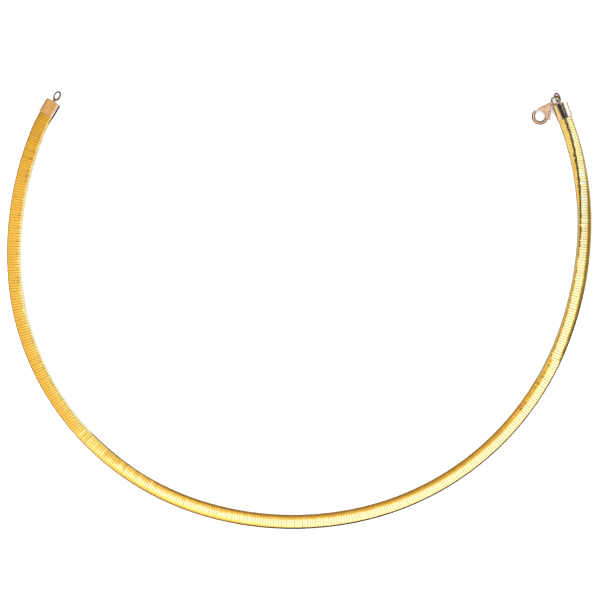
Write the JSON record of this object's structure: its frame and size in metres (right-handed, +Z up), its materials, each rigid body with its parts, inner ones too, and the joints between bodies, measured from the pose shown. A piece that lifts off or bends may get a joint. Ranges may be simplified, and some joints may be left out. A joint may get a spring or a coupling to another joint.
{
  "type": "omega necklace",
  "caption": "Collar necklace of domed metal plates close together on a woven strip, lying open, with hollow end caps, a ring at each end and a lever claw clasp.",
  "frame": {"origin": "on the surface that the necklace lies on, under the middle of its bounding box", "axes": "+X across the collar from the left cap to the right cap, +Y from the front of the collar towards its open ends, +Z up out of the surface, on the side of the domed faces"},
  "size_m": [0.206, 0.1542, 0.0034],
  "materials": {
    "woven_core": "satin",
    "polished_plates": "polished",
    "cap_metal": "polished",
    "clasp_metal": "polished"
  },
  "bodies": {
    "necklace": {"mesh_core": "woven_core", "plate_row": "polished_plates", "end_cap_right": "cap_metal", "end_cap_left": "cap_metal", "clasp_body": "clasp_metal", "clasp_pin": "clasp_metal"},
    "lever": {"clasp_lever": "clasp_metal"}
  },
  "joints": [
    {"name": "lever_pivot", "type": "hinge", "parent": "necklace", "child": "lever", "pos_m": [0.08629, 0.07135, 0.00162], "axis": [-0.1135, -0.1175, 0.9866], "range_deg": [0, 22], "stiffness_Nm_per_rad": 0.001, "springref_deg": -17.19}
  ]
}
